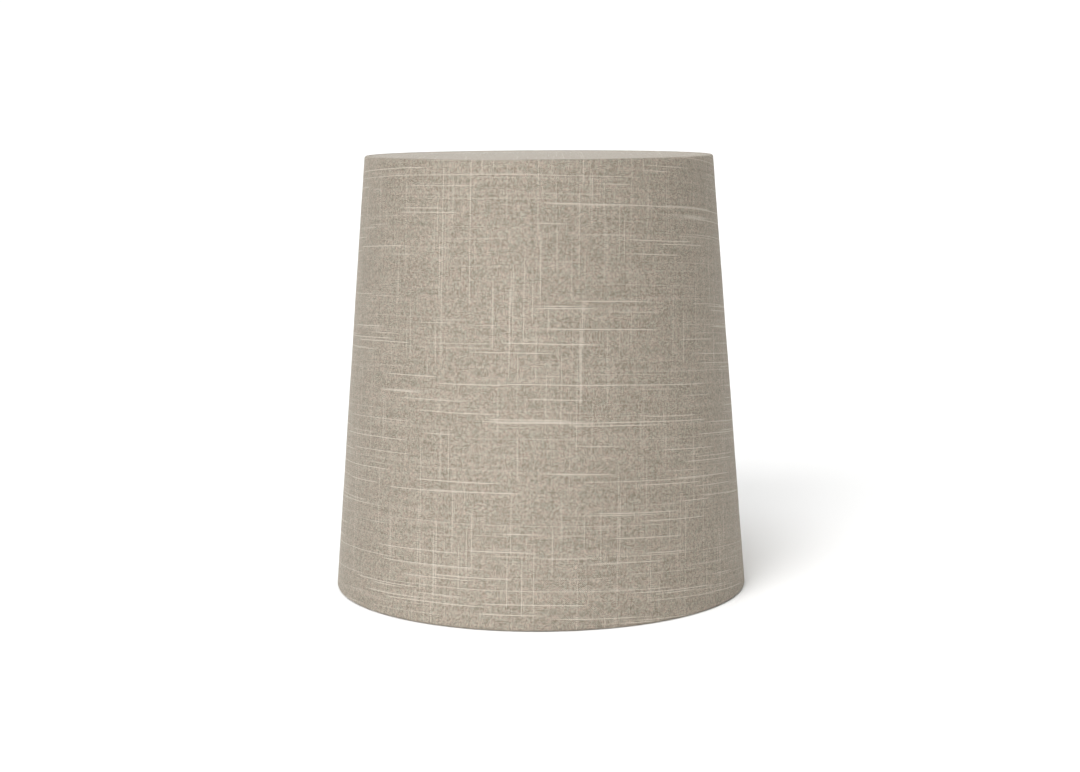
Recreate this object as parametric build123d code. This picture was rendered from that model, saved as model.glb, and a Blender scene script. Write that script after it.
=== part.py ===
from build123d import *

import math
import os

# Tapered lamp shade with a closed top and rolled fabric edges.
#
# A linen-look fabric is laminated to a stiff lining that is rolled into a cone. The fabric is
# turned over a steel wire ring at each end, and its raw edge is tucked back against the lining. A
# board covered in the same fabric closes the top. Three wire spokes rise from the bottom ring to a
# flat carrier ring, which drops over a standard screw lampholder.
#
# Millimetres. The origin is the centre of the circle that the shade stands on, +Z is up along the
# axis, and -Y is the front. The fabric's seam runs up the back, a little to one side.

# Overall size, measured over the fabric
height = 350.0
top_radius = 140.0
bottom_radius = 168.0

# Sheets, tapes and wires
fabric_thickness = 0.5
lining_thickness = 0.45
tape_thickness = 0.15
glue_film = 0.02
wire_radius = 1.5

# Rolled edges: the fabric goes nearly all the way round the taped wire
tuck_wrap = 295.0
lining_setback = 1.35

# Seams at the back: the sheet's end jogs by its own thickness and lies over the other end
seam_angle = 76.0
seam_slit = 0.3
seam_jog = 0.8
cover_lap = 12.0
lining_lap = 10.0
seam_end_margin = 4.0

# Closed top
board_thickness = 1.5
groove_width = 0.3
top_inset = 0.3
top_hem = 12.0
top_edge_round = 0.45
glue_bead_width = 5.0
glue_bead_depth = 5.0

# Carrier ring for an E27 lampholder, and the spokes that hold it
carrier_bore_radius = 21.0
carrier_outer_radius = 29.0
carrier_thickness = 2.0
carrier_height = 60.0
carrier_edge_round = 0.3
spoke_radius = 1.5
spoke_level_run = 9.0
spoke_bend_radius = 10.0
spoke_angles = (90.0, 210.0, 330.0)
spoke_root_clearance = 1.1
weld_spread = 0.8
weld_length = 1.8
notch_length = 14.0

# Derived: radii round the wire, and the lines of the conical wall
tape_inner = wire_radius + glue_film
tape_outer = tape_inner + tape_thickness
fabric_inner = tape_outer + glue_film
roll_radius = fabric_inner + fabric_thickness
lining_outer = fabric_inner - glue_film
lining_inner = lining_outer - lining_thickness

bottom_wire = Vector(bottom_radius - roll_radius, roll_radius)
top_wire = Vector(top_radius - roll_radius, height - roll_radius)
wall_run = (top_wire - bottom_wire).length
lean = math.degrees(math.atan2(bottom_wire.X - top_wire.X, top_wire.Y - bottom_wire.Y))
wall_up = (top_wire - bottom_wire).normalized()
wall_out = Vector(math.cos(math.radians(lean)), math.sin(math.radians(lean)))


def on_wall(up, out):
    """The point of the half section that lies up along the wall and out from the wires' line."""
    return bottom_wire + wall_up * up + wall_out * out


def turned(edges, start=0.0, sweep=360.0):
    """Turn a closed outline of the half section about the shade's axis."""
    section = Plane.XZ * make_face(edges)
    return Rot(0, 0, start) * revolve(section, Axis.Z, sweep)


def wall_band(low, high, inner, outer, start=0.0, sweep=360.0):
    """A conical band of the wall, between two lines parallel to it."""
    corners = [on_wall(low, inner), on_wall(high, inner), on_wall(high, outer), on_wall(low, outer)]
    return turned(Polyline(*corners, close=True), start, sweep)


def degrees_on_wall(width):
    """The angle that a width takes up round the middle of the wall."""
    return math.degrees(width / on_wall(wall_run / 2, 0).X)


def wire_ring(centre, inner, outer):
    """A ring round the axis with a round or hollow round section."""
    section = Circle(outer) if inner is None else Circle(outer) - Circle(inner)
    return revolve(Plane.XZ * (Pos(centre.X, centre.Y) * section), Axis.Z)


def lapped_sheet(sheet, low, high, face, thickness, lap, side):
    """Slit a conical sheet at the seam and lay one end over the other, on the given side."""
    slit = degrees_on_wall(seam_slit)
    gap = wall_band(0, wall_run, -roll_radius, 2 * roll_radius, seam_angle - slit, slit)
    near = face + side * (tape_thickness + 2 * glue_film)
    far = near + side * thickness
    lap_start = seam_angle - degrees_on_wall(lap)
    lap_sweep = degrees_on_wall(lap + seam_jog)
    flap = wall_band(low, high, min(near, far), max(near, far), lap_start, lap_sweep)
    jog = wall_band(low, high, min(face, far), max(face, far), seam_angle, degrees_on_wall(seam_jog))
    return sheet - gap + flap + jog


def seam_tape(low, high, face, lap, side):
    """The double-sided tape between the two ends of a lapped sheet."""
    near = face + side * glue_film
    far = near + side * tape_thickness
    start = seam_angle - degrees_on_wall(lap)
    sweep = degrees_on_wall(lap - 2 * seam_slit)
    return wall_band(low, high, min(near, far), max(near, far), start, sweep)


def rolled_cover():
    """The side's fabric: the conical wall and a roll round the wire at each end."""
    edges = []
    ends = []
    for centre, wrap in ((bottom_wire, -tuck_wrap), (top_wire, tuck_wrap)):
        arcs = [CenterArc(centre, radius, lean, wrap) for radius in (fabric_inner, roll_radius)]
        edges += arcs
        edges.append(Line(arcs[0] @ 1, arcs[1] @ 1))
        ends.append([arc @ 0 for arc in arcs])
    edges += [Line(low, high) for low, high in zip(*ends)]
    return turned(edges)


def spoke_path():
    """A spoke's centre line in the half section, from the bottom wire in to the carrier ring."""
    hub_end = carrier_outer_radius - carrier_edge_round
    points = [
        bottom_wire,
        Vector(hub_end + spoke_level_run, carrier_height),
        Vector(hub_end, carrier_height),
    ]
    return Plane.XZ * FilletPolyline(*points, radius=spoke_bend_radius)


def at_spokes(shape):
    """The shape, made on the +X side, at each of the three spokes."""
    return [Rot(0, 0, angle) * shape for angle in spoke_angles]


def weld_collar(origin, direction):
    """A weld bead that tapers from a joint onto the spoke."""
    seat = Plane(origin=origin, z_dir=direction)
    collar = Cone(spoke_radius + weld_spread, spoke_radius, weld_length)
    return seat * Pos(0, 0, weld_length / 2) * collar


# Wires, and the tape wound on each of the two rings
top_ring = wire_ring(top_wire, None, wire_radius)
bottom_ring = wire_ring(bottom_wire, None, wire_radius)
top_ring_tape = wire_ring(top_wire, tape_inner, tape_outer)
bottom_ring_tape = wire_ring(bottom_wire, tape_inner, tape_outer)

# Carrier ring
carrier_ring = Cylinder(carrier_outer_radius, carrier_thickness) - Cylinder(
    carrier_bore_radius, carrier_thickness
)
outer_rims = carrier_ring.edges().filter_by(GeomType.CIRCLE).sort_by(SortBy.RADIUS)[-2:]
carrier_ring = Pos(0, 0, carrier_height) * fillet(outer_rims, carrier_edge_round)

# One spoke on the +X side, its welds, and the notch that the rolled fabric leaves for it
path = spoke_path()
root = path @ 0
root_direction = path % 0
spoke = sweep(Plane(origin=root, z_dir=root_direction) * Circle(spoke_radius), path=path)
spoke = spoke - bottom_ring - carrier_ring

rim_weld = weld_collar(root + root_direction * (wire_radius - weld_spread / 2), root_direction)
rim_weld = rim_weld - bottom_ring - spoke
hub_seat = Vector(carrier_outer_radius - carrier_edge_round / 2, 0, carrier_height)
hub_weld = weld_collar(hub_seat, Vector(1, 0, 0)) - carrier_ring - spoke

notch_plane = Plane(origin=root, z_dir=root_direction)
notch = notch_plane * Pos(0, 0, notch_length / 2) * Cylinder(
    spoke_radius + spoke_root_clearance, notch_length
)

for spoke_notch in at_spokes(notch):
    bottom_ring_tape -= spoke_notch

# Lining: a stiff sheet behind the fabric, short of the taped wires, lapped on its inner side
lining_low = lining_setback
lining_high = wall_run - lining_setback
lap_low = lining_low + seam_end_margin
lap_high = lining_high - seam_end_margin
side_lining = lapped_sheet(
    wall_band(lining_low, lining_high, lining_inner, lining_outer),
    lap_low,
    lap_high,
    lining_inner,
    lining_thickness,
    lining_lap,
    -1,
)
lining_seam_tape = seam_tape(lap_low, lap_high, lining_inner, lining_lap, -1)

# Fabric on the side, lapped on its outer side and notched for the spokes
side_cover = lapped_sheet(
    rolled_cover(), 0, wall_run, roll_radius, fabric_thickness, cover_lap, 1
)
for spoke_notch in at_spokes(notch):
    side_cover -= spoke_notch
cover_seam_tape = seam_tape(0, wall_run, roll_radius, cover_lap, 1)

# Closed top: a board with fabric drawn over it and turned under, glued into the top ring's roll
cover_edge = top_wire.X - roll_radius - groove_width
cover_top = height - top_inset
board_edge = cover_edge - fabric_thickness - glue_film
board_top = cover_top - fabric_thickness - glue_film
board_bottom = board_top - board_thickness
hem_bottom = board_bottom - glue_film - fabric_thickness
hem_edge = cover_edge - top_hem

board_middle = (board_top + board_bottom) / 2
top_board = Pos(0, 0, board_middle) * Cylinder(board_edge, board_thickness)
wrapped = Pos(0, 0, (cover_top + hem_bottom) / 2) * Cylinder(cover_edge, cover_top - hem_bottom)
wrapped = fillet(wrapped.edges().filter_by(GeomType.CIRCLE), top_edge_round)
board_space = Pos(0, 0, board_middle) * Cylinder(
    board_edge + glue_film, board_thickness + 2 * glue_film
)
hem_hole_depth = board_bottom - hem_bottom + glue_film
hem_hole = Pos(0, 0, hem_bottom + hem_hole_depth / 2) * Cylinder(hem_edge, hem_hole_depth)
top_cover = wrapped - board_space - hem_hole

# A bead of hot glue in the corner under the top's edge, against the rolled fabric and the lining
bead_top = hem_bottom - glue_film
bead_foot = on_wall(wall_run - glue_bead_depth - lining_setback, lining_inner - glue_film)
bead_head = on_wall(lining_high - glue_film, lining_inner - glue_film)
bead_outline = Polyline(
    Vector(cover_edge - glue_bead_width, bead_top),
    Vector(cover_edge + groove_width, bead_top),
    Vector(top_wire.X, bead_head.Y),
    bead_head,
    bead_foot,
    close=True,
)
bead_section = make_face(bead_outline) - Pos(top_wire.X, top_wire.Y) * Circle(roll_radius + glue_film)
lap_clearance = wall_band(
    lap_low,
    wall_run,
    lining_inner - 2 * lining_thickness - tape_thickness,
    lining_inner,
    seam_angle - degrees_on_wall(lining_lap + seam_slit),
    degrees_on_wall(lining_lap + seam_jog + 2 * seam_slit),
)
top_glue_bead = revolve(Plane.XZ * bead_section, Axis.Z) - lap_clearance

nodes = {
    "side_cover": side_cover,
    "side_lining": side_lining,
    "cover_seam_tape": cover_seam_tape,
    "lining_seam_tape": lining_seam_tape,
    "top_cover": top_cover,
    "top_board": top_board,
    "top_glue_bead": top_glue_bead,
    "top_ring": top_ring,
    "top_ring_tape": top_ring_tape,
    "bottom_ring": bottom_ring,
    "bottom_ring_tape": bottom_ring_tape,
    "carrier_ring": carrier_ring,
    "rim_welds": Compound(children=at_spokes(rim_weld)),
    "hub_welds": Compound(children=at_spokes(hub_weld)),
}
for number, arm in enumerate(at_spokes(spoke), start=1):
    nodes[f"spoke_{number}"] = arm

os.makedirs("parts", exist_ok=True)
for name, shape in nodes.items():
    export_step(shape, f"parts/{name}.step")
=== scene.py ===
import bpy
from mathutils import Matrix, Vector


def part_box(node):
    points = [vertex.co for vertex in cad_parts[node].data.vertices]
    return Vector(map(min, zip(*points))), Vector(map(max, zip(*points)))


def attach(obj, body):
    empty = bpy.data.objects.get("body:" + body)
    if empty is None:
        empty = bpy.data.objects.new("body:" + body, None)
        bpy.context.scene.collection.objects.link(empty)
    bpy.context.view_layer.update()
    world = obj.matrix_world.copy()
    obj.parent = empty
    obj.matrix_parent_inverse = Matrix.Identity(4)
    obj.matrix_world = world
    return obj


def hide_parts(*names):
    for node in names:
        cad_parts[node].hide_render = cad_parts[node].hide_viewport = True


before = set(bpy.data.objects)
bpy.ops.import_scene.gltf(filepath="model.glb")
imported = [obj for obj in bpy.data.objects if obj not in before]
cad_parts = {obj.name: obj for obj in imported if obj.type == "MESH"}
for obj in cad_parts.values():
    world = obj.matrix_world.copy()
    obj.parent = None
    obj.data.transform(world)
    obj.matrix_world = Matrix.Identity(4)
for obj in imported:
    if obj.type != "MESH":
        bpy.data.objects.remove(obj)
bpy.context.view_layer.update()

import math

import bmesh
import bpy
from mathutils import Matrix, Vector, noise

# A tapered lamp shade: slub cloth over a stiff lining, rolled over a wire ring at each end, with
# a cloth-covered board that closes the top. Metres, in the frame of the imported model: +Z is up
# and -Y is the front.

MM = 0.001

# Sheets
CLOTH_THICKNESS = 0.5 * MM
TAPE_THICKNESS = 0.19 * MM
LINING_THICKNESS = 0.45 * MM
LINING_CLEARANCE = 0.02 * MM
LINING_INSET = 0.05 * MM
TUCK_WRAP = math.radians(295)

# The seam up the back: the cloth's last end is folded under and lies over the first end
SEAM_ANGLE = math.radians(76)
CLOTH_LAP = 12 * MM
CLOTH_FOLD = 6 * MM
LINING_LAP = 10 * MM
SEAM_SLIT = 0.3 * MM

# The wall's unevenness: the depth of each swell and its waves to the metre. It dies away
# towards the rings, to a least share, and stops a little before the seam.
WALL_SWELLS = ((0.22 * MM, 17), (0.1 * MM, 70))
RING_FADE = 22 * MM
RING_LEAST_SHARE = 0.1
SEAM_FADE = math.radians(9)
SEAM_STILL_SHARE = 0.6

# Mesh fineness
STEPS_ROUND = 300
STEPS_ROLL = 16
CUTS_UP = 44
STEPS_FOLD = 3
STEPS_LAP = 5
CUTS_DISC = 40
CUTS_HEM = 6

# Notches in the bottom roll for the spokes; the last three are in radii of the roll
SPOKE_ANGLES = [math.radians(a) for a in (90, 210, 330)]
NOTCH_HALF_WIDTH = 2.3 * MM
NOTCH_INWARD_FROM = -0.4
NOTCH_UP_FROM = -0.45
NOTCH_DEPTH = 1.2

# Top
TOP_CROWN = 1.0 * MM
TOP_HEM = 12 * MM
TOP_EDGE_ROUNDING = 0.7 * MM
HEM_PLEATS = 46
HEM_PLEAT_DEPTH = 0.5 * MM
WELD_DISTANCE = 0.02 * MM

# Studio: lights by degrees to the left of the front and degrees up
AMBIENT = 0.45
FLOOR_BOUNCE = 0.8
FLOOR_SEEN = 0.87
FLOOR_GAP = 0.2 * MM
WORLD_SEEN = 1.05
WHITE = (1.0, 1.0, 1.0)
# name, azimuth, elevation, strength, spread in degrees, colour
SUNS = (
    ("key", 27, 30, 2.13, 36, WHITE),
    ("front", 10, 50, 0.44, 30, WHITE),
    ("overhead", 38, 72, 1.2, 36, (0.95, 0.975, 1.0)),
    ("back", 178, 18, 0.62, 30, (1.0, 0.99, 0.97)),
)
PANEL_DISTANCE = 0.85
PANEL_SIZE = 0.35
# name, azimuth, elevation, strength, colour
PANELS = (
    ("front_fill", 18, -9, 2.95, WHITE),
    ("side_fill", -84, -9, 1.45, (1.0, 0.96, 0.88)),
)

# Camera: the distance and height are in heights of the shade, the turns in degrees
CAMERA_LENS = 66.2
CAMERA_PITCH = 8.17
CAMERA_ROLL = 0.3
CAMERA_DISTANCE = 4.6
CAMERA_HEIGHT = 1.122


def ring_line(node):
    """The radius and height of a wire ring's centre line, and the wire's own radius."""
    low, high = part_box(node)
    wire = (high.z - low.z) / 2
    return high.x - wire, (high.z + low.z) / 2, wire


class Shade:
    """The shade's few driving sizes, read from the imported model."""

    low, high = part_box("side_cover")
    foot_r, foot_z, _ = ring_line("bottom_ring")
    head_r, head_z, _ = ring_line("top_ring")
    middle_r = (foot_r + head_r) / 2
    lean = math.atan2(foot_r - head_r, head_z - foot_z)
    up = Vector((-math.sin(lean), 0, math.cos(lean)))
    out = Vector((math.cos(lean), 0, math.sin(lean)))
    foot = Vector((foot_r, 0, foot_z))
    head = Vector((head_r, 0, head_z))
    roll = foot_z - low.z
    height = high.z - low.z


# ---------------------------------------------------------------- shader graphs


class Graph:
    """Adds nodes to one node tree, and links or sets what they are given."""

    def __init__(self, tree):
        self.tree = tree

    def feed(self, socket, value):
        if isinstance(value, bpy.types.NodeSocket):
            self.tree.links.new(value, socket)
        else:
            socket.default_value = value

    def add(self, kind, inputs=None, **settings):
        made = self.tree.nodes.new(kind)
        for name, value in settings.items():
            setattr(made, name, value)
        for key, value in (inputs or {}).items():
            self.feed(made.inputs[key], value)
        return made

    def math(self, operation, *values):
        made = self.add("ShaderNodeMath", operation=operation)
        for socket, value in zip(made.inputs, values):
            self.feed(socket, value)
        return made.outputs[0]

    def times(self, a, b):
        return self.math("MULTIPLY", a, b)

    def plus(self, a, b):
        return self.math("ADD", a, b)

    def minus(self, a, b):
        return self.math("SUBTRACT", a, b)

    def ramp(self, value, low, high, to_low=0.0, to_high=1.0):
        """A smooth step of the value from low to high."""
        made = self.add("ShaderNodeMapRange", interpolation_type="SMOOTHSTEP")
        for socket, number in zip(made.inputs, (value, low, high, to_low, to_high)):
            self.feed(socket, number)
        return made.outputs["Result"]

    def vector(self, x, y, z=0.0):
        return self.add("ShaderNodeCombineXYZ", {"X": x, "Y": y, "Z": z}).outputs[0]

    def grey(self, value):
        return self.vector(value, value, value)

    def noise_2d(self, x, y, detail=0.0):
        made = self.add(
            "ShaderNodeTexNoise",
            {"Vector": self.vector(x, y), "Scale": 1.0, "Detail": detail, "Roughness": 0.5},
            noise_dimensions="2D",
        )
        return made.outputs["Fac"]

    def noise_3d(self, vector, scale, detail, roughness=0.5):
        made = self.add(
            "ShaderNodeTexNoise",
            {"Vector": vector, "Scale": scale, "Detail": detail, "Roughness": roughness},
        )
        return made.outputs["Fac"]

    def random(self, number):
        """A different value from 0 to 1 for each number."""
        made = self.add("ShaderNodeTexWhiteNoise", {"W": number}, noise_dimensions="1D")
        return made.outputs["Value"]

    def random_2d(self, x, y):
        """A different value from 0 to 1 for each pair of numbers."""
        made = self.add(
            "ShaderNodeTexWhiteNoise", {"Vector": self.vector(x, y)}, noise_dimensions="2D"
        )
        return made.outputs["Value"]

    def mix(self, factor, a, b, blend="MIX"):
        made = self.add("ShaderNodeMix", data_type="RGBA", blend_type=blend)
        self.feed(made.inputs["Factor"], factor)
        for socket, value in zip([s for s in made.inputs if s.type == "RGBA"], (a, b)):
            self.feed(socket, value)
        return next(s for s in made.outputs if s.type == "RGBA")


FLOAT, COLOUR, VECTOR = "NodeSocketFloat", "NodeSocketColor", "NodeSocketVector"


def new_group(name, inputs, outputs):
    """A shader node group with named sockets, as (group, graph, its inputs, its outputs)."""
    group = bpy.data.node_groups.new(name, "ShaderNodeTree")
    for label, kind, value in inputs:
        socket = group.interface.new_socket(label, in_out="INPUT", socket_type=kind)
        if value is not None:
            socket.default_value = value
    for label, kind in outputs:
        group.interface.new_socket(label, in_out="OUTPUT", socket_type=kind)
    graph = Graph(group)
    given = graph.add("NodeGroupInput").outputs
    result = graph.add("NodeGroupOutput").inputs
    return group, graph, given, result


class Yarns:
    """One of the weave's two sets of parallel yarns, drawn on the cloth's flat cut."""

    def __init__(self, g, run, sideways, drift, pitch):
        self.g = g
        self.run = run
        self.position = g.math("DIVIDE", g.plus(sideways, drift), pitch)
        self.number = g.math("FLOOR", self.position)
        self.part = g.math("FRACT", self.position)

    def noise(self, length, seed, detail=0.0):
        """Noise that runs along each yarn and differs from one yarn to the next."""
        g = self.g
        lane = g.plus(g.times(self.number, 7.31), seed)
        start = g.times(g.random(g.plus(self.number, seed)), 53.0)
        return g.noise_2d(g.plus(g.math("DIVIDE", self.run, length), start), lane, detail)

    def slubs(self, length, seed, low, high, amount):
        """Thick pale stretches on some yarns, fainter on some than on others."""
        g = self.g
        swell = g.ramp(self.noise(length, seed), low, high)
        loudness = g.ramp(g.random(g.plus(self.number, seed * 3.0)), 0.0, 1.0, 0.3, 1.15)
        return g.times(g.math("MINIMUM", g.times(swell, loudness), 1.0), amount)

    def over(self, others, sign):
        """1 where these yarns pass over the others, 0 where they dip under."""
        g = self.g
        turn = g.times(g.plus(others.position, self.number), math.pi)
        return g.plus(0.5, g.times(g.math("SINE", turn), 0.5 * sign))

    def height(self, over):
        """The rounded height across each yarn, lower where it dips under."""
        g = self.g
        offset = g.minus(g.times(self.part, 2.0), 1.0)
        roundness = g.minus(1.0, g.times(offset, offset))
        return g.times(roundness, g.plus(0.25, g.times(over, 0.75)))


def lay_yarns(g, across, along, pitch):
    """The weft and the warp, whose yarns wander a little from straight."""
    weft_waves = g.noise_2d(g.times(across, 16.0), g.times(along, 16.0))
    warp_waves = g.noise_2d(g.times(along, 14.0), g.plus(g.times(across, 14.0), 9.0))
    weft_drift = g.times(g.minus(weft_waves, 0.5), 0.001)
    warp_drift = g.times(g.minus(warp_waves, 0.5), 0.0009)
    weft = Yarns(g, across, along, weft_drift, pitch)
    warp = Yarns(g, along, across, warp_drift, pitch)
    return weft, warp


def yarn_paleness(g, weft, warp, weft_on_top):
    """How pale the yarn on top is: spun yarn is flecked, and has a slow tone of its own."""
    weft_fleck = weft.noise(0.0034, 11.9, 2.0)
    warp_fleck = warp.noise(0.0034, 77.1, 2.0)
    fleck = g.ramp(g.mix(weft_on_top, warp_fleck, weft_fleck), 0.31, 0.69, -0.25, 0.25)
    crossing = g.ramp(g.random_2d(warp.number, weft.number), 0.0, 1.0, -0.22, 0.22)
    weft_tone = weft.noise(0.03, 23.9)
    warp_tone = warp.noise(0.03, 57.1)
    tone = g.ramp(g.mix(weft_on_top, warp_tone, weft_tone), 0.3, 0.7, -0.08, 0.08)
    paleness = g.plus(g.ramp(weft_on_top, 0.0, 1.0, 0.36, 0.64), g.plus(fleck, crossing))
    return g.plus(paleness, tone)


def pale_bands(g, across, along):
    """Soft bands of paler yarn, mostly along the weft."""
    weft_band = g.noise_2d(g.times(across, 7.0), g.times(along, 260.0), 2.0)
    warp_band = g.noise_2d(g.times(across, 230.0), g.times(along, 6.0), 2.0)
    weft_share = g.ramp(weft_band, 0.4, 0.75, -0.02, 0.09)
    warp_share = g.ramp(warp_band, 0.4, 0.75, -0.01, 0.04)
    return g.plus(weft_share, warp_share)


def fibre_cast(g, weft, warp, across, along):
    """The spun fibres are not all one hue: some lean to rose and some to olive."""
    each = g.random_2d(g.plus(warp.number, 0.5), g.plus(weft.number, 71.5))
    patch = g.noise_2d(g.times(across, 160.0), g.times(along, 190.0), 2.0)
    hue = g.plus(g.times(each, 0.6), g.times(patch, 0.4))
    return g.mix(g.ramp(hue, 0.2, 0.8), (0.925, 1.01, 0.975, 1), (1.06, 0.99, 0.965, 1))


def make_slub_weave():
    """A plain weave of uneven yarns, long pale slubs and painted gap shade, on the cloth's flat
    cut.
    """
    group, g, given, result = new_group(
        "Slub weave",
        [
            ("Cut", VECTOR, None),
            ("Yarn pitch", FLOAT, 0.0008),
            ("Weft slubs", FLOAT, 1.0),
            ("Warp slubs", FLOAT, 1.0),
            ("Dark yarn", COLOUR, (0.108, 0.092, 0.071, 1)),
            ("Pale yarn", COLOUR, (0.332, 0.289, 0.248, 1)),
            ("Slub yarn", COLOUR, (0.465, 0.42, 0.36, 1)),
        ],
        [("Colour", COLOUR), ("Height", FLOAT)],
    )
    split = g.add("ShaderNodeSeparateXYZ", {"Vector": given["Cut"]}).outputs
    across, along = split["X"], split["Y"]
    weft, warp = lay_yarns(g, across, along, given["Yarn pitch"])

    # A slub lifts its yarn over the others: the weft's nearly hides them, the warp's hardly does
    weft_slub = weft.slubs(0.13, 3.7, 0.675, 0.76, given["Weft slubs"])
    warp_slub = warp.slubs(0.11, 41.3, 0.72, 0.8, given["Warp slubs"])
    weft_over = g.math("MAXIMUM", weft.over(warp, 1.0), g.times(weft_slub, 0.85))
    warp_over = g.math("MAXIMUM", warp.over(weft, -1.0), g.times(warp_slub, 0.12))
    weft_height, warp_height = weft.height(weft_over), warp.height(warp_over)
    height = g.math("MAXIMUM", weft_height, warp_height)
    weft_on_top = g.ramp(g.minus(weft_height, warp_height), -0.08, 0.08)

    # Painted shade: the gaps between yarns are painted darker than their crests
    painted_gap_shade = g.times(g.minus(g.math("POWER", height, 0.6), 0.75), 0.55)
    paleness = g.plus(yarn_paleness(g, weft, warp, weft_on_top), pale_bands(g, across, along))
    cloth = g.mix(g.plus(paleness, painted_gap_shade), given["Dark yarn"], given["Pale yarn"])
    cloth = g.mix(1.0, cloth, fibre_cast(g, weft, warp, across, along), "MULTIPLY")

    weft_seen = g.times(weft_slub, weft_on_top)
    warp_seen = g.times(g.times(warp_slub, 0.78), g.minus(1.0, weft_on_top))
    slub = g.plus(weft_seen, warp_seen)
    # Painted shade: the slub's colour is darker where its yarn lies low in the weave
    shade = g.grey(g.plus(0.72, g.times(height, 0.34)))
    slub_colour_with_painted_shade = g.mix(1.0, given["Slub yarn"], shade, "MULTIPLY")
    g.feed(result["Colour"], g.mix(g.times(slub, 0.9), cloth, slub_colour_with_painted_shade))
    g.feed(result["Height"], g.plus(height, g.times(slub, 0.35)))
    return group


def make_handling():
    """What a made surface picks up: a mask of faint marks, a fine grain and a slow tone."""
    group, g, given, result = new_group(
        "Handling",
        [("Vector", VECTOR, None), ("Grain scale", FLOAT, 900.0), ("Mark scale", FLOAT, 60.0)],
        [("Marks", FLOAT), ("Grain", FLOAT), ("Tone", FLOAT)],
    )
    marks = g.noise_3d(given["Vector"], given["Mark scale"], 5.0, 0.65)
    g.feed(result["Marks"], g.ramp(marks, 0.54, 0.72))
    g.feed(result["Grain"], g.noise_3d(given["Vector"], given["Grain scale"], 2.0))
    g.feed(result["Tone"], g.noise_3d(given["Vector"], 18.0, 3.0))
    return group


SLUB_WEAVE = make_slub_weave()
HANDLING = make_handling()


# ---------------------------------------------------------------- materials


def new_material(name, values):
    """A material with one Principled shader, its constant values set on the sockets."""
    material = bpy.data.materials.new(name)
    material.use_nodes = True
    tree = material.node_tree
    tree.nodes.clear()
    graph = Graph(tree)
    shader = graph.add("ShaderNodeBsdfPrincipled", values)
    surface = graph.add("ShaderNodeOutputMaterial")
    graph.feed(surface.inputs["Surface"], shader.outputs[0])
    return material, graph, shader


def add_bump(g, shader, height, strength, distance):
    """Raise the surface a little by a height map."""
    bump = g.add(
        "ShaderNodeBump", {"Height": height, "Strength": strength, "Distance": distance}
    )
    g.feed(shader.inputs["Normal"], bump.outputs[0])


def linen_cloth():
    """The slub cloth of the side and the top."""
    values = {
        "Roughness": 0.62,
        "Specular IOR Level": 0.4,
        "Specular Tint": (1.0, 0.92, 0.8, 1),
        "Sheen Weight": 0.13,
        "Sheen Roughness": 0.45,
        "Sheen Tint": (0.95, 0.87, 0.74, 1),
    }
    material, g, shader = new_material("linen_cloth", values)
    weave = g.add("ShaderNodeGroup", node_tree=SLUB_WEAVE)
    g.feed(weave.inputs["Cut"], g.add("ShaderNodeUVMap", uv_map="cut").outputs[0])
    g.feed(shader.inputs["Base Color"], weave.outputs["Colour"])
    add_bump(g, shader, weave.outputs["Height"], 0.55, 0.12 * MM)
    return material


def marked_material(name, colour, mark_colour, mark_share, grain, bump_depth, roughness):
    """A plain made surface with its own grain, slow tone changes and faint marks."""
    material, g, shader = new_material(name, {"Roughness": roughness})
    handling = g.add("ShaderNodeGroup", node_tree=HANDLING)
    g.feed(handling.inputs["Vector"], g.add("ShaderNodeTexCoord").outputs["Object"])
    g.feed(handling.inputs["Grain scale"], grain)
    marks = handling.outputs["Marks"]
    darker = tuple(0.93 * c for c in colour)
    ground = g.mix(
        g.ramp(handling.outputs["Tone"], 0.35, 0.65), darker + (1,), colour + (1,)
    )
    marked = g.mix(g.times(marks, mark_share), ground, mark_colour + (1,))
    g.feed(shader.inputs["Base Color"], marked)
    rubbed = min(1.0, roughness + 0.18)
    g.feed(shader.inputs["Roughness"], g.ramp(marks, 0.0, 1.0, roughness, rubbed))
    add_bump(g, shader, handling.outputs["Grain"], 0.5, bump_depth)
    return material


# ---------------------------------------------------------------- meshes


def finish_piece(bm, name, material, thickness=None):
    """Turn a bmesh into a smooth-shaded piece, with a sheet's thickness if it has one."""
    mesh = bpy.data.meshes.new(name)
    for face in bm.faces:
        face.smooth = True
    bm.to_mesh(mesh)
    bm.free()
    piece = bpy.data.objects.new(name, mesh)
    bpy.context.scene.collection.objects.link(piece)
    mesh.materials.append(material)
    if thickness:
        wall = piece.modifiers.new("Thickness", "SOLIDIFY")
        wall.thickness = thickness
        wall.offset = -1.0
        wall.use_even_offset = False
    return piece


def vert_at(bm, place):
    """The vertex nearest to a place."""
    return min(bm.verts, key=lambda v: (v.co - Vector(place)).length)


def verts_in(geom):
    """The vertices among some geometry."""
    return {part for part in geom if isinstance(part, bmesh.types.BMVert)}


def swing(bm, place, centre, angle, steps):
    """Swing the vertex at a place about a centre in the XZ plane, leaving an arc of edges."""
    bmesh.ops.spin(
        bm,
        geom=[vert_at(bm, place)],
        cent=centre,
        axis=(0, 1, 0),
        dvec=(0, 0, 0),
        angle=angle,
        steps=steps,
    )
    return centre + Matrix.Rotation(angle, 3, "Y") @ (place - centre)


def run_on(bm, start, end, cuts=0):
    """Draw a straight line from the vertex at the start to the end, cut into even lengths."""
    drawn = bmesh.ops.extrude_vert_indiv(bm, verts=[vert_at(bm, start)])
    drawn["verts"][0].co = end
    if cuts:
        bmesh.ops.subdivide_edges(bm, edges=drawn["edges"], cuts=cuts)


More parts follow.
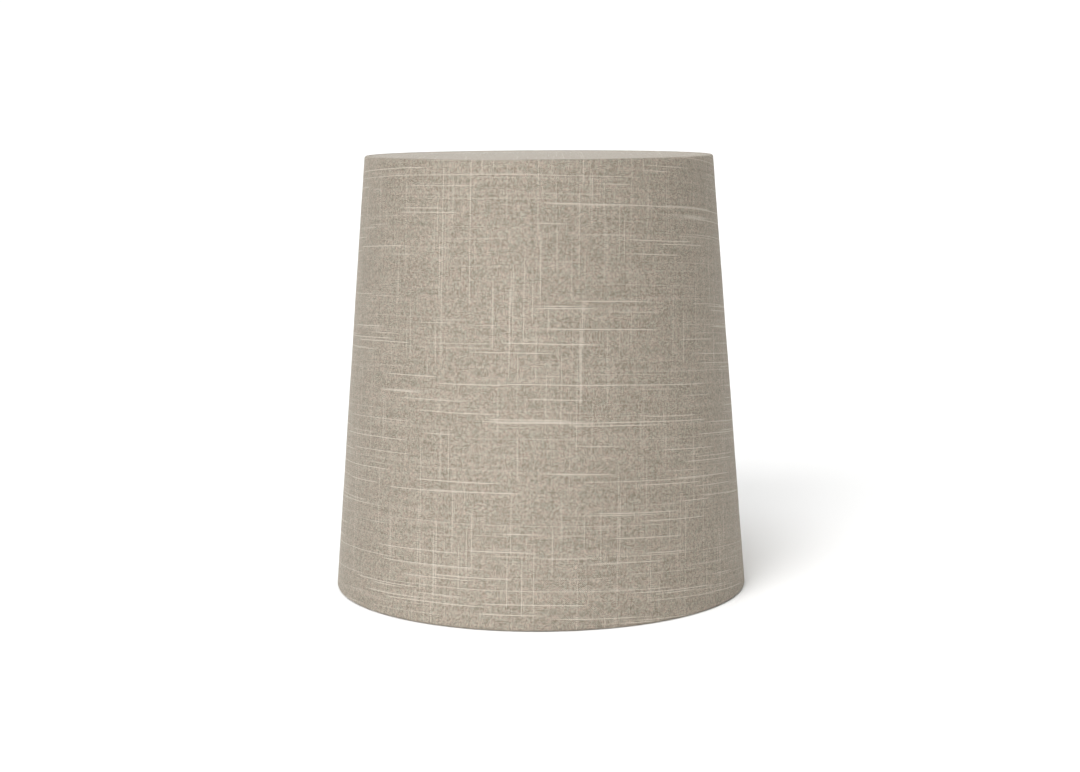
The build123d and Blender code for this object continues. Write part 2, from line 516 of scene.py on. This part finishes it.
def measure_chain(bm, place):
    """Keep in each vertex of a chain its distance along the chain from the end at a place."""
    along = bm.verts.layers.float.new("along")
    vert, seen, length = vert_at(bm, place), set(), 0.0
    while vert:
        vert[along] = length
        seen.add(vert)
        neighbours = [edge.other_vert(vert) for edge in vert.link_edges]
        after = next((v for v in neighbours if v not in seen), None)
        if after:
            length += (after.co - vert.co).length
        vert = after
    return along


def turned_about_axis(bm, geom, angle, steps):
    """Spin geometry about the shade's axis and return what lies at the end of the turn."""
    turned = bmesh.ops.spin(
        bm, geom=geom, cent=(0, 0, 0), axis=(0, 0, 1), dvec=(0, 0, 0), angle=angle, steps=steps
    )
    return turned["geom_last"]


def turned_full_round(bm):
    """Spin a whole section about the shade's axis and close it on itself."""
    bmesh.ops.spin(
        bm,
        geom=bm.verts[:] + bm.edges[:],
        cent=(0, 0, 0),
        axis=(0, 0, 1),
        dvec=(0, 0, 0),
        angle=math.tau,
        steps=STEPS_ROUND,
        use_merge=True,
    )


def turn_of(place):
    """The angle about the shade's axis, counted from the seam, from 0 to a full turn."""
    return (math.atan2(place.y, place.x) - SEAM_ANGLE) % math.tau


def wall_out_at(place):
    """The direction straight out of the conical wall at a place."""
    around = math.atan2(place.y, place.x)
    return Matrix.Rotation(around, 3, "Z") @ Shade.out


def wall_unevenness(place):
    """How far the wall stands off a true cone: less near the rings, and none at the seam."""
    offset = sum(depth * noise.noise(place * waves) for depth, waves in WALL_SWELLS)
    turn = turn_of(place)
    to_seam = min(turn, math.tau - turn) / SEAM_FADE
    to_ring = min(place.z - Shade.low.z, Shade.high.z - place.z) / RING_FADE
    ring_share = min(1.0, max(RING_LEAST_SHARE, to_ring))
    seam_share = min(1.0, max(0.0, to_seam - SEAM_STILL_SHARE))
    return wall_out_at(place) * offset * (ring_share * seam_share)


def sheet_round_the_wall(bm, lap, fold, side, layer_gap):
    """Spin a half-section chain into a sheet that laps over itself at the seam.

    The lap lies on the given side of the sheet: 1 outside, -1 inside. A fold is the part of the
    lap's end that is turned under. Returns the faces of the lap.
    """
    lap_angle, fold_angle = lap / Shade.middle_r, fold / Shade.middle_r
    start = Matrix.Rotation(SEAM_ANGLE - lap_angle + fold_angle, 3, "Z")
    bmesh.ops.rotate(bm, verts=bm.verts, cent=(0, 0, 0), matrix=start)
    end = bm.verts[:] + bm.edges[:]
    if fold:
        end = turned_about_axis(bm, end, -fold_angle, STEPS_FOLD)
    edge_of_lap = verts_in(end)
    under = set(bm.verts) - edge_of_lap
    end = turned_about_axis(bm, end, lap_angle, STEPS_LAP)
    seam_line = verts_in(end)
    over = set(bm.verts) - under - edge_of_lap - seam_line
    lap_faces = set(bm.faces)
    turned_about_axis(bm, end, math.tau - SEAM_SLIT / Shade.middle_r, STEPS_ROUND)

    top = layer_gap * (2 if fold else 1) + TAPE_THICKNESS
    lifts = (
        (under, TAPE_THICKNESS),
        (edge_of_lap, (top + TAPE_THICKNESS) / 2 if fold else top),
        (over, top),
        (seam_line, top / 2),
    )
    for verts, lift in lifts:
        for vert in verts:
            vert.co += wall_out_at(vert.co) * lift * side
    return lap_faces


def map_cut(bm, along, wall_start, lap_faces):
    """Lay the cloth's flat cut in the UV map: the sector that rolls up into the cone."""
    cut = bm.loops.layers.uv.new("cut")
    slant = cloth_slant()
    for face in bm.faces:
        middle = turn_of(face.calc_center_median())
        if face in lap_faces and middle > math.pi:
            middle -= math.tau
        for loop in face.loops:
            turn = turn_of(loop.vert.co)
            turn += math.tau * round((middle - turn) / math.tau)
            angle = (turn - math.pi) * math.sin(Shade.lean)
            reach = slant - (loop.vert[along] - wall_start)
            loop[cut].uv = (reach * math.sin(angle), slant - reach * math.cos(angle))


def trim_lap_to_wall(bm, lap_faces):
    """Cut the lap away where the cloth rolls over the wires, so only one layer is rolled."""
    doomed = []
    for face in lap_faces:
        height = face.calc_center_median().z
        if height < Shade.foot_z or height > Shade.head_z:
            doomed.append(face)
    bmesh.ops.delete(bm, geom=doomed, context="FACES")
    lap_faces.difference_update(doomed)


def near_spoke(place, radial, sideways, reach):
    """Whether a place is low on the wall, within reach of a spoke's line."""
    low = place.z < Shade.foot_z + 2 * Shade.roll
    return low and place.dot(radial) > 0 and abs(place.dot(sideways)) < reach


def in_notch(place, radial, sideways):
    """Whether a place is on the part of the bottom roll that a spoke passes through."""
    inward = Shade.foot_r - place.dot(radial)
    rise = place.z - Shade.foot_z
    return (
        near_spoke(place, radial, sideways, NOTCH_HALF_WIDTH)
        and inward > NOTCH_INWARD_FROM * Shade.roll
        and rise > NOTCH_UP_FROM * Shade.roll
        and math.hypot(inward, rise) < NOTCH_DEPTH * Shade.roll
    )


def notch_bottom_roll(bm):
    """Slit the tucked edge of the bottom roll where each spoke leaves the ring."""
    for angle in SPOKE_ANGLES:
        turn = Matrix.Rotation(angle, 3, "Z")
        radial, sideways = turn @ Vector((1, 0, 0)), turn @ Vector((0, 1, 0))
        for side in (-1, 1):
            faces = [
                face
                for face in bm.faces
                if near_spoke(face.calc_center_median(), radial, sideways, 3 * NOTCH_HALF_WIDTH)
            ]
            edges = {edge for face in faces for edge in face.edges}
            verts = {vert for face in faces for vert in face.verts}
            bmesh.ops.bisect_plane(
                bm,
                geom=list(verts) + list(edges) + faces,
                plane_co=sideways * side * NOTCH_HALF_WIDTH,
                plane_no=sideways,
            )
        doomed = [f for f in bm.faces if in_notch(f.calc_center_median(), radial, sideways)]
        bmesh.ops.delete(bm, geom=doomed, context="FACES")


def make_side_cloth(material):
    """The side's cloth: up the wall and rolled round the taped wire at each end."""
    bm = bmesh.new()
    tangent_low = Shade.foot + Shade.out * Shade.roll
    tangent_high = Shade.head + Shade.out * Shade.roll
    bm.verts.new(tangent_low)
    tucked = swing(bm, tangent_low, Shade.foot, TUCK_WRAP, STEPS_ROLL)
    run_on(bm, tangent_low, tangent_high, CUTS_UP)
    swing(bm, tangent_high, Shade.head, -TUCK_WRAP, STEPS_ROLL)
    along = measure_chain(bm, tucked)
    wall_start = vert_at(bm, tangent_low)[along]
    lap_faces = sheet_round_the_wall(bm, CLOTH_LAP, CLOTH_FOLD, 1, CLOTH_THICKNESS)
    map_cut(bm, along, wall_start, lap_faces)
    trim_lap_to_wall(bm, lap_faces)
    notch_bottom_roll(bm)
    for vert in bm.verts:
        vert.co += wall_unevenness(vert.co)
    return finish_piece(bm, "side_cloth", material, CLOTH_THICKNESS)


def draw_top_section(bm, edge_r, hem_r, low_z, high_z):
    """The top cloth's half-section: over the board, round its edge and back under it."""
    centre, rim = (0, 0, high_z), (edge_r, 0, high_z)
    under, hem = (edge_r, 0, low_z), (hem_r, 0, low_z)
    bm.verts.new(centre)
    run_on(bm, centre, rim, CUTS_DISC)
    run_on(bm, rim, under)
    run_on(bm, under, hem, CUTS_HEM)
    bmesh.ops.bevel(
        bm,
        geom=[vert_at(bm, rim), vert_at(bm, under)],
        offset=TOP_EDGE_ROUNDING,
        offset_type="OFFSET",
        segments=4,
        profile=0.5,
        affect="VERTICES",
        material=-1,
    )
    return measure_chain(bm, centre)


def map_disc(bm, along):
    """Lay the top cloth's flat cut in the UV map: a disc."""
    cut = bm.loops.layers.uv.new("cut")
    for face in bm.faces:
        for loop in face.loops:
            place = loop.vert.co.xy
            if place.length:
                place = place.normalized() * loop.vert[along]
            loop[cut].uv = place


def make_top_cloth(material):
    """The top's cloth: a disc drawn over the board, its edge turned under in small pleats."""
    low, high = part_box("top_cover")
    board_low, board_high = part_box("top_board")
    edge_r, hem_r = high.x, high.x - TOP_HEM
    bm = bmesh.new()
    along = draw_top_section(bm, edge_r, hem_r, low.z, high.z)
    turned_full_round(bm)
    bmesh.ops.remove_doubles(bm, verts=bm.verts, dist=WELD_DISTANCE)
    bmesh.ops.recalc_face_normals(bm, faces=bm.faces)
    map_disc(bm, along)
    for vert in bm.verts:
        share = min(1.0, vert.co.xy.length / edge_r)
        if vert.co.z > board_high.z:
            vert.co.z += TOP_CROWN * (1 - share * share)
        elif vert.co.z < board_low.z:
            around = math.atan2(vert.co.y, vert.co.x)
            gather = (edge_r - vert.co.xy.length) / (edge_r - hem_r)
            pleat = around * HEM_PLEATS + 4 * noise.noise(vert.co * 30)
            vert.co.z -= HEM_PLEAT_DEPTH * gather * (0.5 - 0.5 * math.cos(pleat))
    return finish_piece(bm, "top_cloth", material, CLOTH_THICKNESS)


def lining_line():
    """The foot and head of the lining's outer face, in the XZ plane, just inside the cloth."""
    low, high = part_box("side_lining")
    standoff = Shade.out * (Shade.roll - CLOTH_THICKNESS - LINING_CLEARANCE)
    foot_up = (low.z - Shade.foot_z) / math.cos(Shade.lean)
    head_up = (high.z - Shade.foot_z) / math.cos(Shade.lean)
    foot = Shade.foot + Shade.up * foot_up + standoff
    head = Shade.foot + Shade.up * head_up + standoff
    return foot, head


def make_lining(material):
    """The stiff lining sheet, with its lap on the inside."""
    bm = bmesh.new()
    foot, head = lining_line()
    bm.verts.new(foot)
    run_on(bm, foot, head, CUTS_UP)
    sheet_round_the_wall(bm, LINING_LAP, 0, -1, LINING_THICKNESS)
    for vert in bm.verts:
        vert.co += wall_unevenness(vert.co) - wall_out_at(vert.co) * LINING_INSET
    return finish_piece(bm, "lining_sheet", material, LINING_THICKNESS)


def make_glue_bead(material):
    """The hand-run bead of glue in the corner under the top's edge."""
    low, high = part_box("top_glue_bead")
    inner_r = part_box("top_cover")[1].x - 4 * MM
    corners = (
        (inner_r, high.z - 0.7 * MM),
        (high.x - 4.4 * MM, high.z - 0.7 * MM),
        (high.x - 1.6 * MM, low.z + 2.4 * MM),
        (high.x - 0.8 * MM, low.z + 0.6 * MM),
        (high.x - 1.8 * MM, low.z + 0.9 * MM),
        (inner_r + 1.2 * MM, high.z - 2.6 * MM),
    )
    bm = bmesh.new()
    section = [bm.verts.new((r, 0, z)) for r, z in corners]
    for vert, after in zip(section, section[1:] + section[:1]):
        bm.edges.new((vert, after))
    bmesh.ops.subdivide_edges(bm, edges=bm.edges[:], cuts=1)
    bmesh.ops.smooth_vert(bm, verts=bm.verts, factor=0.5, use_axis_x=True, use_axis_z=True)
    turned_full_round(bm)
    bmesh.ops.recalc_face_normals(bm, faces=bm.faces)
    for vert in bm.verts:
        swell = noise.noise(vert.co * 90) + 0.5 * noise.noise(vert.co * 260)
        inward = Vector((-vert.co.x, -vert.co.y, 0)).normalized()
        vert.co += inward * swell * 0.35 * MM
        vert.co.z -= abs(swell) * 0.25 * MM
    return finish_piece(bm, "glue_bead", material)


# ---------------------------------------------------------------- flat cuts


def cloth_slant():
    """The slant length of the cloth's cone, from its apex to the foot of the wall."""
    wall_foot = Shade.foot + Shade.out * Shade.roll
    return wall_foot.x / math.sin(Shade.lean)


# ---------------------------------------------------------------- the shade

cloth = linen_cloth()
laminate = marked_material(
    "lining_laminate", (0.84, 0.82, 0.78), (0.7, 0.67, 0.6), 0.18, 700.0, 0.05 * MM, 0.42
)
board = marked_material(
    "board", (0.8, 0.78, 0.73), (0.68, 0.64, 0.56), 0.22, 1600.0, 0.06 * MM, 0.85
)
coated_wire = marked_material(
    "coated_wire", (0.83, 0.83, 0.82), (0.55, 0.54, 0.52), 0.25, 1300.0, 0.08 * MM, 0.38
)
tape = marked_material(
    "clear_tape", (0.78, 0.76, 0.68), (0.66, 0.62, 0.5), 0.2, 500.0, 0.03 * MM, 0.25
)
hot_glue = marked_material(
    "hot_glue", (0.82, 0.78, 0.66), (0.74, 0.66, 0.48), 0.3, 350.0, 0.1 * MM, 0.3
)

side_cloth = make_side_cloth(cloth)
top_cloth = make_top_cloth(cloth)
lining_sheet = make_lining(laminate)
glue_bead = make_glue_bead(hot_glue)

for piece, node, slot in (
    (side_cloth, "side_cover", "linen_fabric"),
    (top_cloth, "top_cover", "linen_fabric"),
    (lining_sheet, "side_lining", "lining_laminate"),
    (glue_bead, "top_glue_bead", "hot_glue"),
):
    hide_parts(node)
    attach(piece, "root")

for node, material in {
    "top_board": board,
    "top_ring": coated_wire,
    "bottom_ring": coated_wire,
    "carrier_ring": coated_wire,
    "spoke_1": coated_wire,
    "spoke_2": coated_wire,
    "spoke_3": coated_wire,
    "rim_welds": coated_wire,
    "hub_welds": coated_wire,
    "top_ring_tape": tape,
    "bottom_ring_tape": tape,
    "cover_seam_tape": tape,
    "lining_seam_tape": tape,
}.items():
    for material_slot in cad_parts[node].material_slots:
        material_slot.material = material


# ---------------------------------------------------------------- studio


def make_floor():
    """A pale seamless floor, clear from below so that it doesn't hide the shade's inside."""
    bm = bmesh.new()
    bmesh.ops.create_grid(bm, x_segments=1, y_segments=1, size=40.0)
    mesh = bpy.data.meshes.new("floor")
    bm.to_mesh(mesh)
    bm.free()
    floor = bpy.data.objects.new("floor", mesh)
    floor.location.z = Shade.low.z - FLOOR_GAP
    bpy.context.scene.collection.objects.link(floor)
    mesh.materials.append(floor_paper())


def floor_paper():
    """White paper that bounces a little less light than it shows."""
    values = {"Roughness": 0.9, "Specular IOR Level": 0.1}
    material, g, shader = new_material("floor_paper", values)
    seen = g.add("ShaderNodeLightPath").outputs["Is Camera Ray"]
    tone = g.ramp(seen, 0.0, 1.0, FLOOR_BOUNCE, FLOOR_SEEN)
    g.feed(shader.inputs["Base Color"], g.grey(tone))
    cover = g.add("ShaderNodeMixShader")
    g.feed(cover.inputs[0], g.add("ShaderNodeNewGeometry").outputs["Backfacing"])
    g.feed(cover.inputs[1], shader.outputs[0])
    g.feed(cover.inputs[2], g.add("ShaderNodeBsdfTransparent").outputs[0])
    surface = next(n for n in material.node_tree.nodes if n.type == "OUTPUT_MATERIAL")
    g.feed(surface.inputs["Surface"], cover.outputs[0])
    return material


def make_world():
    """White all round. The camera sees full white, and the shade gets a softer share of it."""
    world = bpy.data.worlds.new("studio")
    bpy.context.scene.world = world
    world.use_nodes = True
    world.node_tree.nodes.clear()
    g = Graph(world.node_tree)
    lit = g.add("ShaderNodeBackground", {"Color": (1.0, 0.985, 0.955, 1), "Strength": AMBIENT})
    seen = g.add("ShaderNodeBackground", {"Color": (1, 1, 1, 1), "Strength": WORLD_SEEN})
    mixed = g.add("ShaderNodeMixShader")
    g.feed(mixed.inputs[0], g.add("ShaderNodeLightPath").outputs["Is Camera Ray"])
    g.feed(mixed.inputs[1], lit.outputs[0])
    g.feed(mixed.inputs[2], seen.outputs[0])
    surface = g.add("ShaderNodeOutputWorld").inputs["Surface"]
    g.feed(surface, mixed.outputs[0])


def add_lamp(name, kind, azimuth, elevation, strength, colour):
    """A lamp turned to shine from a direction, as (lamp, its light, the direction)."""
    light = bpy.data.lights.new(name, kind)
    light.energy = strength
    light.color = colour
    lamp = bpy.data.objects.new(name, light)
    bpy.context.scene.collection.objects.link(lamp)
    a, e = math.radians(azimuth), math.radians(elevation)
    towards = Vector((-math.sin(a) * math.cos(e), -math.cos(a) * math.cos(e), math.sin(e)))
    lamp.rotation_euler = towards.to_track_quat("Z", "Y").to_euler()
    return lamp, light, towards


def make_lights():
    """Soft far lights, and two square soft boxes that face the shade."""
    for name, azimuth, elevation, strength, spread, colour in SUNS:
        _, light, _ = add_lamp(name, "SUN", azimuth, elevation, strength, colour)
        light.angle = math.radians(spread)
    for name, azimuth, elevation, strength, colour in PANELS:
        lamp, light, towards = add_lamp(name, "AREA", azimuth, elevation, strength, colour)
        light.size = PANEL_SIZE
        lamp.location = towards * PANEL_DISTANCE + Vector((0, 0, Shade.height / 2))


def make_camera():
    """In front of the shade, a little above its top, looking slightly down."""
    data = bpy.data.cameras.new("camera")
    data.sensor_width = 36.0
    data.lens = CAMERA_LENS
    data.clip_end = 100
    camera = bpy.data.objects.new("camera", data)
    bpy.context.scene.collection.objects.link(camera)
    distance, height = CAMERA_DISTANCE * Shade.height, CAMERA_HEIGHT * Shade.height
    place = Matrix.Translation((0, -distance, height))
    tilt = Matrix.Rotation(math.radians(90 - CAMERA_PITCH), 4, "X")
    roll = Matrix.Rotation(math.radians(-CAMERA_ROLL), 4, "Z")
    camera.matrix_world = place @ tilt @ roll
    bpy.context.scene.camera = camera


make_floor()
make_world()
make_lights()
make_camera()
bpy.context.scene.view_settings.view_transform = "Standard"
